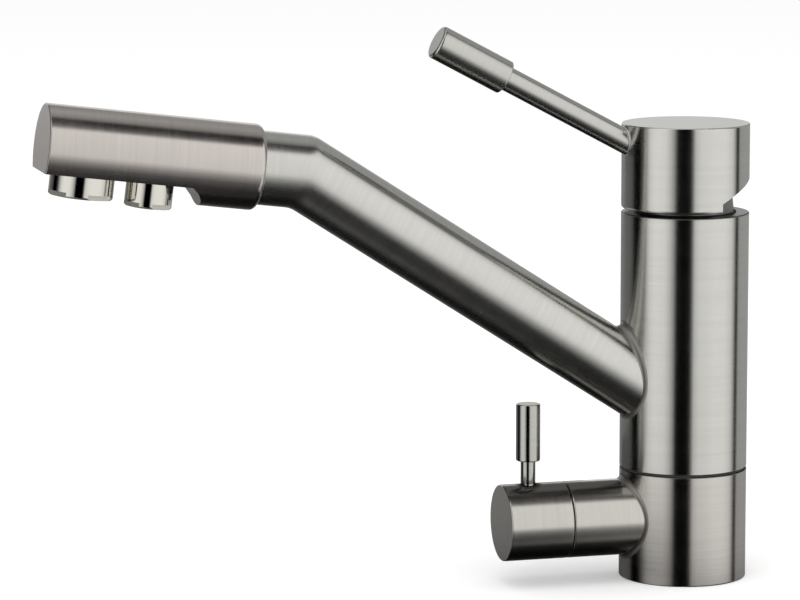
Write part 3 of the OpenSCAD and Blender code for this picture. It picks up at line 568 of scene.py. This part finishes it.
def add_grime(tree, local, base, rough, spot, weights, core, edge, shade):
    """The colour and roughness with a spot or line of painted shade, where shade falls.

    weights are the shares of the three directions in the distance from the spot, which is fully
    shaded up to core and unshaded from edge on. shade is its grey, and there it is rougher too.
    """
    away = local
    for operation, by in (("SUBTRACT", spot), ("MULTIPLY", weights)):
        away = add_node(tree, "VectorMath", {"operation": operation}, {0: away, 1: by})
    away = add_node(tree, "VectorMath", {"operation": "LENGTH"}, {0: away}).outputs["Value"]
    unshaded = add_node(tree, "MapRange", inputs={"Value": away, "From Min": core, "From Max": edge})
    base = add_node(tree, "Mix", {"data_type": "RGBA"},
                    {0: unshaded, 6: grey(shade), 7: base}).outputs[2]
    rough = add_node(tree, "Mix", {"data_type": "FLOAT"}, {0: unshaded, 2: PAINTED_SHADE_ROUGH, 3: rough})
    return base, rough


def facing_along(tree, axis):
    """1 on a flat end, which looks along the axis, and 0 on the round."""
    looks = add_node(tree, "TexCoord").outputs["Normal"]
    square = add_node(tree, "VectorMath", {"operation": "DOT_PRODUCT"},
                      {0: looks, 1: axis}).outputs["Value"]
    square = add_node(tree, "Math", {"operation": "ABSOLUTE"}, {0: square})
    return add_node(tree, "MapRange", inputs={"Value": square, "From Min": FACED[0],
                                              "From Max": FACED[1]})


def base_metal(name, inside, body, branch):
    """The base's metal: brushed round the body, and outside that radius round the branch."""
    made, tree = new_material(name)
    x, y, z = add_node(tree, "SeparateXYZ", inputs={
        0: add_node(tree, "TexCoord").outputs["Object"]}).outputs
    flat = add_node(tree, "CombineXYZ", inputs={0: x, 1: y})
    out = add_node(tree, "VectorMath", {"operation": "LENGTH"}, {0: flat}).outputs["Value"]
    share = add_node(tree, "MapRange", inputs={"Value": out, "From Min": inside,
                                               "From Max": inside + 0.1 * MM})
    finish(tree, add_node(tree, "MixShader", inputs={0: share, 1: body(tree), 2: branch(tree)}))
    return made


def moulded(name, shade, roughness, ior=1.5, grain=0.6 * MM, depth=0.01 * MM, vary=0.06):
    """Moulded, pressed or lapped stuff that isn't metal, with a fine grain and faint clouds."""
    made, tree = new_material(name)
    here = add_node(tree, "TexCoord").outputs["Object"]
    speck = add_node(tree, "TexNoise", inputs={"Vector": here, "Scale": 1 / grain, "Detail": 4.0,
                                               "Roughness": 0.6}).outputs["Fac"]
    cloud = add_node(tree, "TexNoise", inputs={"Vector": here, "Scale": MOULD_CLOUDS,
                                               "Detail": 2.0}).outputs["Fac"]
    tone = add_node(tree, "Mix", {"data_type": "FLOAT"}, {0: 0.5, 2: speck, 3: cloud})
    low = [c * (1 - vary) for c in shade]
    high = [min(1.0, c * (1 + vary)) for c in shade]
    base = add_node(tree, "Mix", {"data_type": "RGBA"}, {0: tone, 6: rgba(low),
                                                         7: rgba(high)}).outputs[2]
    rough = add_node(tree, "MapRange", inputs={
        "Value": cloud, **NOISE_SPAN, "To Min": roughness - MOULD_VARY,
        "To Max": roughness + MOULD_VARY})
    bump = add_node(tree, "Bump", inputs={"Strength": 0.4, "Distance": depth, "Height": speck})
    finish(tree, add_node(tree, "BsdfPrincipled", inputs={
        "Base Color": base, "Roughness": rough, "IOR": ior, "Normal": bump}))
    return made


def finishes():
    """Every material by name, made once."""
    have = bpy.data.materials
    if "brushed_body" in have:
        return have
    sizes, look = bpy.context.scene.tap_sizes, bpy.context.scene.tap_finishes
    steel = (look.steel, look.steel_dark)
    # Painted shade: dark, rough lines along the seam over the base and along the gap under the cap,
    # where shade falls, and a dark spot round the foot of the filter lever, which also dulls that
    # lever's reflection in the knob
    level = (0, 0, 1)
    seam = ((0, 0, sizes.seam_z), level, 0.42 * MM, 0.85 * MM, 0.03)
    gap = ((0, 0, sizes.gap_z), level, 0.85 * MM, 1.35 * MM, 0.08)
    foot = ((sizes.branch_d / 2, 0, sizes.knob_lever_x), (0.25, 1, 1),
            sizes.knob_rod_d / 2 + 0.3 * MM, sizes.knob_rod_d / 2 + 3 * MM, 0.04)
    # 304 stainless tube, brushed round the pipe: broad soft streaks that follow the tube
    turned_metal("brushed_body", *steel, look.body_rough, 0.85, faced=look.face_rough,
                 grime=(seam, gap))
    turned_metal("brushed_arm", *steel, look.arm_rough, 0.6, arm_frame(sizes))
    turned_metal("brushed_head", look.head_steel, look.head_steel_dark, look.body_rough, 0.7,
                 tip_frame(sizes), look.face_rough)
    warm = (look.warm_steel, look.warm_steel_dark)
    branch = (*warm, look.branch_rough, 0.7, branch_frame(sizes), look.face_rough)
    turned_metal("brushed_branch", *branch, grip=0.2, grime=(foot,))
    base_metal("brushed_base", sizes.body_d / 2 + 0.1 * MM,
               lambda tree: turned_shader(tree, *warm, look.body_rough, 0.85,
                                          faced=look.face_rough, grime=(seam,)),
               lambda tree: turned_shader(tree, *branch, grip=0.2))
    # 304 stainless bar, finely turned: crisper streaks than on the tubes
    turned_metal("turned_lever", look.lever_steel, look.lever_steel_dark, look.lever_rough, 0.1,
                 lever_frame(sizes), look.face_rough, line=0.3 * MM, depth=0.001 * MM,
                 grip=0.2, smudge=0.0)
    turned_metal("turned_knob_lever", look.small_steel, look.small_steel_dark,
                 look.small_rough, 0.5,
                 Matrix.Translation((-sizes.knob_lever_x, 0, 0)), look.face_rough,
                 line=0.3 * MM, depth=0.006 * MM)
    # The same stainless, dressed by hand with a flap wheel: satin, with no clear direction
    # Their darker grey is painted shade in the crease where the branch and the arm meet the body
    weld = (look.shaded_weld_steel, [c * 0.9 for c in look.shaded_weld_steel], look.weld_rough, 0.0)
    turned_metal("dressed_weld", *weld, branch_frame(sizes), depth=0.01 * MM)
    turned_metal("dressed_arm_weld", *weld, arm_frame(sizes), depth=0.01 * MM)
    # Chromed brass: a mirror with hardly a mark on it, and satin on the milled spanner flats
    for name, back, across in (
            ("chrome_mixed", sizes.mixed_back, sizes.mixed_d),
            ("chrome_filter", sizes.mixed_back + sizes.outlet_pitch, sizes.filter_d)):
        turned_metal(name, look.chrome, look.chrome, 0.07, 0.0, outlet_frame(sizes, back),
                     look.milled_rough, depth=0.002 * MM, grip=0.2, smudge=0.015,
                     milled=across / 2)
    # Nickelled brass, turned: satin, a little greener than the steel round it
    turned_metal("satin_nut", look.nut, [c * 0.85 for c in look.nut], 0.42, 0.3)
    # CZ brass, machined: warm yellow with tool marks
    brass = [c * 0.86 for c in look.brass]
    turned_metal("machined_brass", look.brass, brass, 0.26, 0.4, line=0.5 * MM)
    turned_metal("machined_brass_valve", look.brass, brass, 0.24, 0.4, branch_frame(sizes),
                 line=0.4 * MM)
    # Oxidised alloy steel: nearly black, with a satin gloss
    turned_metal("blackened_steel", look.black_steel, [c * 0.7 for c in look.black_steel], 0.38,
                 0.0, depth=0.004 * MM)
    # Vulcanised rubber: nearly black, matt and a little uneven from the mould
    moulded("seal_rubber", look.rubber, 0.62, ior=1.52, grain=0.4 * MM, depth=0.02 * MM)
    # Acetal with carbon black: dull, with hardly a highlight
    moulded("black_acetal", look.black_plastic, 0.7, ior=1.4)
    # Natural acetal: milky white, with a waxy gloss
    moulded("natural_acetal", look.white_plastic, 0.34, ior=1.48)
    # Moulded polymer: dark grey, with the mould's fine grain
    moulded("grey_polymer", look.grey_plastic, 0.42)
    # Drawn polyethylene: pale and smooth, with long soft waves
    moulded("tube_polymer", look.tube_plastic, 0.3, ior=1.51, grain=1.2 * MM)
    # Lapped alumina: hard, white and glossy, with next to no grain
    moulded("lapped_ceramic", look.ceramic, 0.12, ior=1.76, grain=0.2 * MM, depth=0.002 * MM,
            vary=0.02)
    return have


# The solids of each finish
PAINT = {
    "brushed_base": ["base_shell"],
    "brushed_body": ["swivel_sleeve", "lever_cap", "cap_screw_plug"],
    "brushed_arm": ["spout_tube"],
    "brushed_head": ["head_shell", "head_end_plate"],
    "brushed_branch": ["filter_knob"],
    "turned_lever": ["lever_rod", "lever_grip"],
    "turned_knob_lever": ["knob_lever_rod", "knob_lever_grip"],
    "chrome_mixed": ["mixed_aerator_housing"],
    "chrome_filter": ["filter_aerator_housing"],
    "satin_nut": ["cartridge_nut"],
    "machined_brass": ["valve_core", "lever_stem"],
    "machined_brass_valve": ["filter_valve_body", "filter_bonnet", "filter_spindle"],
    "blackened_steel": ["stem_pin", "cap_set_screw", "knob_set_screw"],
    "seal_rubber": ["base_seal", "core_o_rings", "cartridge_seals", "spigot_o_ring",
                    "waterway_o_ring", "filtered_tube_seal", "mixed_aerator_washer",
                    "filter_aerator_washer", "spindle_o_ring"],
    "black_acetal": ["lower_slide_ring"],
    "natural_acetal": ["upper_slide_ring", "cartridge_housing", "stem_carrier", "disc_driver"],
    "grey_polymer": ["head_waterway", "mixed_aerator_insert", "filter_aerator_insert"],
    "tube_polymer": ["filtered_tube"],
    "lapped_ceramic": ["mixer_fixed_disc", "filter_fixed_disc", "mixer_moving_disc",
                       "filter_moving_disc"],
}


# Operators


class TAP_OT_paint_solids(bpy.types.Operator):
    """Gives every solid its finish"""

    bl_idname = "tap.paint_solids"
    bl_label = "Paint the solids"

    def execute(self, context):
        have = finishes()
        finish_of = {node: name for name, nodes in PAINT.items() for node in nodes}
        for node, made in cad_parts.items():
            for slot in made.material_slots:
                slot.material = have[finish_of[node]]
        return {"FINISHED"}


class TAP_OT_welds(bpy.types.Operator):
    """Adds the hollow fillets of the welds at the branch, at the arm and at the mixer lever"""

    bl_idname = "tap.welds"
    bl_label = "Welds"

    def execute(self, context):
        sizes, have = context.scene.tap_sizes, finishes()
        body_r = sizes.body_d / 2
        made = piece("branch_weld", weld_cove(branch_frame(sizes), sizes.branch_d / 2, body_r,
                                              sizes.branch_weld))
        dress(made, have["dressed_weld"], "base")
        made = piece("arm_weld", weld_cove(arm_frame(sizes), sizes.spout_d / 2, body_r,
                                           sizes.arm_weld))
        dress(made, have["dressed_arm_weld"], "spout")
        made = piece("lever_weld", weld_cove(lever_frame(sizes), sizes.lever_rod_d / 2, body_r,
                                             sizes.lever_weld, arc=6, buried=0.3 * MM,
                                             tucked=0.01 * MM))
        dress(made, have["turned_lever"], "lever")
        return {"FINISHED"}


class TAP_OT_spout(bpy.types.Operator):
    """Models the spout's tube with its polished bend"""

    bl_idname = "tap.spout"
    bl_label = "Spout tube"

    def execute(self, context):
        sizes, have = context.scene.tap_sizes, finishes()
        arm, tip = arm_frame(sizes), tip_frame(sizes)
        out, inn = sizes.spout_d / 2, sizes.spout_d / 2 - sizes.spout_wall
        half = (sizes.arm_rise - sizes.tip_rise) / 2
        start = sizes.body_d / 2 - 0.3 * MM  # a little inside the sleeve's wall
        end = sizes.tip_len + sizes.tip_bury

        arm_along, tip_along = arm.col[2].xyz, tip.col[2].xyz

        def bend(r, turn):
            """The arc that rounds the bend, from the arm to the tip, on one line of the tube."""
            above, side = r * cos(turn), r * sin(turn)
            corner = arm @ Vector((above, side, sizes.arm_len + above * tan(half)))
            reach = sizes.bend_round
            inward = (tip_along - arm_along).normalized()
            middle = corner + inward * reach / sin(half)
            spoke = corner - arm_along * reach - middle
            for k in range(BEND_ARC + 1):
                yield middle + Matrix.Rotation(-2 * half * k / BEND_ARC, 3, "Y") @ spoke

        def line(r, turn):
            above, side = r * cos(turn), r * sin(turn)
            yield slide_to_body(arm @ Vector((above, side, 0)), arm_along, start)
            yield from bend(r, turn)
            yield tip @ Vector((above, side, end))

        per_wall = BEND_ARC + 3  # the points of the bend and the two ends
        bm = swept(2 * per_wall, lambda turn: [*line(out, turn), *list(line(inn, turn))[::-1]])
        dress(piece("spout_pipe", bm), have["brushed_arm"], "spout",
              ["spout_tube"])
        return {"FINISHED"}


class TAP_OT_end_plate(bpy.types.Operator):
    """Models the plate that closes the head, with its softened rim"""

    bl_idname = "tap.end_plate"
    bl_label = "End plate"

    def execute(self, context):
        sizes, have = context.scene.tap_sizes, finishes()
        face = sizes.tip_len + sizes.head_len
        radius, soft = sizes.head_d / 2, sizes.plate_edge
        back = face - sizes.head_plate
        crown = [(radius - sizes.plate_crown_w * (1 - cos(k / CROWN_ARC * QUARTER)),
                  face - sizes.plate_crown * (1 - sin(k / CROWN_ARC * QUARTER)))
                 for k in range(CROWN_ARC + 1)]
        bm = lathe([(0, back), (radius, back), *crown, (0, face)],
                   [(radius, face - sizes.plate_crown, soft / 2)])
        made = piece("end_plate", bm)
        low, deep = -sizes.flat_drop, -sizes.head_d
        behind, before = face - 2 * sizes.head_plate, face + sizes.head_plate
        cut(made, prism([(low, behind), (low, before), (deep, before), (deep, behind)],
                        sizes.head_d))
        soften(made, soft, where=lambda p: abs(p.x - low) < HAIR)
        made.data.transform(tip_frame(sizes))
        dress(made, have["brushed_head"], "spout", ["head_end_plate"])
        return {"FINISHED"}


class TAP_OT_gap_shadow(bpy.types.Operator):
    """Adds a black ring at the foot of the cartridge nut, down in the gap under the cap: painted
    shadow, a dark piece that stands for the shade in that gap
    """

    bl_idname = "tap.nut_seal"
    bl_label = "Nut seal"

    def execute(self, context):
        sizes, have = context.scene.tap_sizes, finishes()
        inner, outer = sizes.shadow_ring_d / 2 - sizes.shadow_ring_w, sizes.shadow_ring_d / 2
        foot, top = sizes.shadow_ring_z, sizes.shadow_ring_z + sizes.shadow_ring_h
        bm = lathe([(inner, foot), (outer, foot), (outer, top), (inner, top)],
                   [(outer, top, sizes.shadow_ring_edge), (inner, top, sizes.shadow_ring_edge)])
        # Painted shadow: a black ring in the gap, dressed in the seal rubber
        dress(piece("gap_shadow_ring", bm), have["seal_rubber"], "base")
        return {"FINISHED"}


class TAP_OT_stage(bpy.types.Operator):
    """Sets up the camera, the pale floor, the light and the nets that the metal mirrors"""

    bl_idname = "tap.stage"
    bl_label = "Stage"

    def execute(self, context):
        stage = context.scene.tap_stage
        camera = bpy.data.objects.new("camera", bpy.data.cameras.new("camera"))
        context.scene.collection.objects.link(camera)
        camera.matrix_world = (Matrix.Translation(stage.place)
                               @ Matrix.Rotation(stage.turn, 4, "Z")
                               @ Matrix.Rotation(QUARTER - stage.dip, 4, "X")
                               @ Matrix.Rotation(stage.roll, 4, "Z"))
        camera.data.lens, camera.data.sensor_width = stage.lens, SENSOR_MM
        camera.data.clip_start, camera.data.clip_end = 0.05, 50
        context.scene.camera = camera
        context.scene.view_settings.view_transform = "Standard"
        self.floor(stage)
        self.world(context, stage)
        self.lamps(context)
        self.nets(stage)
        self.mat(stage)
        self.flags(context.scene.tap_sizes)
        return {"FINISHED"}

    def seen_directly(self, tree):
        """1 where the camera, a mirror or a clear piece sees past, and 0 for soft light."""
        path = add_node(tree, "LightPath").outputs
        seen = path["Is Camera Ray"]
        for ray in ("Is Glossy Ray", "Is Transmission Ray"):
            seen = add_node(tree, "Math", {"operation": "MAXIMUM"}, {0: seen, 1: path[ray]})
        return seen

    def floor(self, stage):
        """A pale floor that keeps the tap's shadow, and that the metal doesn't mirror."""
        floor = piece("floor", disc(FLOOR_RADIUS, (0, 0, -FLOOR_DROP)))
        made, tree = new_material("pale_floor")
        lift = add_node(tree, "Math", {"operation": "MULTIPLY"},
                        {0: self.seen_directly(tree), 1: stage.floor_lift})
        matt = add_node(tree, "BsdfDiffuse", inputs={"Color": rgba(stage.floor)})
        glow = add_node(tree, "Emission", inputs={"Color": grey(1), "Strength": lift})
        finish(tree, add_node(tree, "AddShader", inputs={0: matt, 1: glow}))
        floor.data.materials.append(made)
        floor.visible_glossy = False
        floor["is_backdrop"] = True

    def world(self, context, stage):
        """Plain soft light all round, and white where the camera or the metal sees past."""
        world = bpy.data.worlds.new("studio")
        context.scene.world = world
        world.use_nodes = True
        tree = world.node_tree
        tree.nodes.clear()
        strength = add_node(tree, "MapRange", inputs={
            "Value": self.seen_directly(tree), "To Min": stage.sky, "To Max": 1.0})
        sky = add_node(tree, "Background", inputs={"Color": grey(1), "Strength": strength})
        add_node(tree, "OutputWorld", inputs={"Surface": sky})

    def lamps(self, context):
        """A large soft box above and one in front, which the metal doesn't mirror."""
        for name, place, size, watts in LAMPS:
            lamp = bpy.data.lights.new(name, "AREA")
            lamp.shape, lamp.size, lamp.energy = "SQUARE", size, watts
            made = bpy.data.objects.new(name, lamp)
            context.scene.collection.objects.link(made)
            made.location = place
            aim = Vector(LAMP_AIM) - Vector(place)
            made.rotation_euler = aim.to_track_quat("-Z", "Y").to_euler()
            made.visible_glossy = False

    def nets(self, stage):
        """A ball of dark nets round the tap that only the metal sees.

        A metal object is shot between flags and nets, because it would otherwise mirror nothing
        but white. The shades say how much of the white a net lets through.
        """
        bm = bmesh.new()
        bmesh.ops.create_uvsphere(bm, u_segments=48, v_segments=24, radius=NETS_AWAY)
        material, tree = new_material("nets")
        here = add_node(tree, "TexCoord").outputs["Object"]
        turned = add_node(tree, "Mapping", inputs={
            "Vector": here, "Rotation": (0, 0, QUARTER - stage.turn)})
        x, y, z = add_node(tree, "SeparateXYZ", inputs={0: turned}).outputs
        turn = add_node(tree, "Math", {"operation": "ARCTAN2"}, {0: y, 1: x})
        up = add_node(tree, "Math", {"operation": "DIVIDE"}, {0: z, 1: NETS_AWAY})
        rise = add_node(tree, "Math", {"operation": "ARCSINE"}, {0: up})
        shade = add_node(tree, "Mix", {"data_type": "RGBA"}, {
            0: self.fade(tree, rise, UPPER_FROM), 6: self.shades(tree, turn, WALL_NET, 180),
            7: self.shades(tree, turn, UPPER_NET, 180)}).outputs[2]
        for blend, layer in (("LIGHTEN", self.card(tree, turn, rise, *BACK_CARD)),
                             ("MULTIPLY", self.shades(tree, rise, LOWER_NET, 90)),
                             ("LIGHTEN", self.card(tree, turn, rise, *SIDE_CARD)),
                             ("LIGHTEN", self.card(tree, turn, rise, *REAR_CARD)),
                             ("ADD", self.glow_below(tree, turn, rise))):
            shade = add_node(tree, "Mix", {"data_type": "RGBA", "blend_type": blend},
                             {0: 1.0, 6: shade, 7: layer}).outputs[2]
        self.hang(piece("nets", bm), material, tree, shade)

    def mat(self, stage):
        """A dark mat under the tap that only the metal sees, faint at its rim."""
        mat = piece("dark_mat", disc(stage.mat_radius, MAT_MIDDLE))
        material, tree = new_material("dark_mat")
        here = add_node(tree, "TexCoord").outputs["Object"]
        out = add_node(tree, "VectorMath", {"operation": "DISTANCE"},
                       {0: here, 1: MAT_MIDDLE}).outputs["Value"]
        shade = add_node(tree, "MapRange", {"interpolation_type": "SMOOTHSTEP"}, {
            "Value": out, "From Max": stage.mat_radius, "To Min": stage.mat_shade,
            "To Max": 1.0})
        self.hang(mat, material, tree, shade)

    def flags(self, sizes):
        """Small flags behind the branch, over its back and along the mixer lever's underside."""
        behind = Matrix.Translation((-0.0535, 0.03, 0.025)) @ Matrix.Rotation(QUARTER, 4, "X")
        over = Matrix.Translation((-0.054, -0.0056, 0.0399))
        below = (lever_frame(sizes) @ Matrix.Translation((-0.0077, 0, 0.072))
                 @ Matrix.Rotation(QUARTER, 4, "Y"))
        for name, shade, size, at in (("back_flag", 0.5, (0.043, 0.05), behind),
                                      ("top_flag", 0.3, (0.054, 0.0105), over),
                                      ("lever_flag", 0.5, (0.084, 0.01), below)):
            bm = bmesh.new()
            bmesh.ops.create_grid(bm, x_segments=1, y_segments=1, size=0.5)
            bmesh.ops.scale(bm, verts=bm.verts, vec=(*size, 1))
            bmesh.ops.transform(bm, verts=bm.verts, matrix=at)
            material, tree = new_material(name)
            self.hang(piece(name, bm), material, tree, grey(shade))

    def glow_below(self, tree, turn, rise):
        """The little light that comes up from below, most of it on the camera's side."""
        aside = add_node(tree, "Math", {"operation": "ABSOLUTE"}, {0: turn})
        near = self.fade(tree, aside, GLOW_TURNS, *GLOW_SHADES)
        deep = self.fade(tree, rise, GLOW_RISES)
        return add_node(tree, "Math", {"operation": "MULTIPLY"}, {0: near, 1: deep})

    def card(self, tree, turn, rise, foot, top, stops):
        """A white card round the tap, which fades in and out over two spans of rise, in degrees."""
        tall = add_node(tree, "Math", {"operation": "MULTIPLY"}, {
            0: self.fade(tree, rise, foot), 1: self.fade(tree, rise, top)})
        return add_node(tree, "Mix", {"data_type": "RGBA"}, {
            0: tall, 6: grey(0), 7: self.shades(tree, turn, stops, 180)}).outputs[2]

    def fade(self, tree, value, span, first=0.0, last=1.0):
        """Runs from first to last while an angle runs over a span of two angles in degrees."""
        return add_node(tree, "MapRange", inputs={
            "Value": value, "From Min": radians(span[0]), "From Max": radians(span[1]),
            "To Min": first, "To Max": last})

    def shades(self, tree, value, stops, limit):
        """The shade at an angle, from stops of (degrees, shade) between minus and plus limit."""
        share = self.fade(tree, value, (-limit, limit))
        ramp = add_node(tree, "ValToRGB", inputs={"Fac": share})
        elements = ramp.color_ramp.elements
        while len(elements) < len(stops):
            elements.new(0.5)
        for element, (degrees, shade) in zip(elements, stops):
            element.position = (degrees + limit) / (2 * limit)
            element.color = grey(shade)
        return ramp

    def hang(self, made, material, tree, shade):
        """Makes a net of an object: seen in the metal and nowhere else."""
        finish(tree, add_node(tree, "BsdfTransparent", inputs={"Color": shade}))
        made.data.materials.append(material)
        for ray in ("camera", "diffuse", "shadow", "transmission", "volume_scatter"):
            setattr(made, "visible_" + ray, False)
        made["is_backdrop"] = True


class TAP_PT_panel(bpy.types.Panel):
    """Lists the steps that dress the tap"""

    bl_idname = "TAP_PT_panel"
    bl_label = "Filtered water tap"
    bl_space_type = "VIEW_3D"
    bl_region_type = "UI"
    bl_category = "Tap"

    def draw(self, context):
        for step in STEPS_IN_ORDER:
            self.layout.operator(step.bl_idname)


STEPS_IN_ORDER = (TAP_OT_paint_solids, TAP_OT_welds, TAP_OT_spout, TAP_OT_end_plate,
                  TAP_OT_gap_shadow, TAP_OT_stage)
CLASSES = (TapSizes, TapFinishes, TapStage, *STEPS_IN_ORDER, TAP_PT_panel)


def register():
    for cls in CLASSES:
        bpy.utils.register_class(cls)
    bpy.types.Scene.tap_sizes = PointerProperty(type=TapSizes)
    bpy.types.Scene.tap_finishes = PointerProperty(type=TapFinishes)
    bpy.types.Scene.tap_stage = PointerProperty(type=TapStage)


def unregister():
    for name in ("tap_sizes", "tap_finishes", "tap_stage"):
        delattr(bpy.types.Scene, name)
    for cls in reversed(CLASSES):
        bpy.utils.unregister_class(cls)


def main():
    register()
    for step in STEPS_IN_ORDER:
        group, name = step.bl_idname.split(".")
        getattr(getattr(bpy.ops, group), name)()
    bpy.context.view_layer.update()
    boxes = {"cad": CAD_BOX, "visual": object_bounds()}
    {k: [list(corner) for corner in box] for k, box in boxes.items()}


if __name__ == "__main__":
    main()
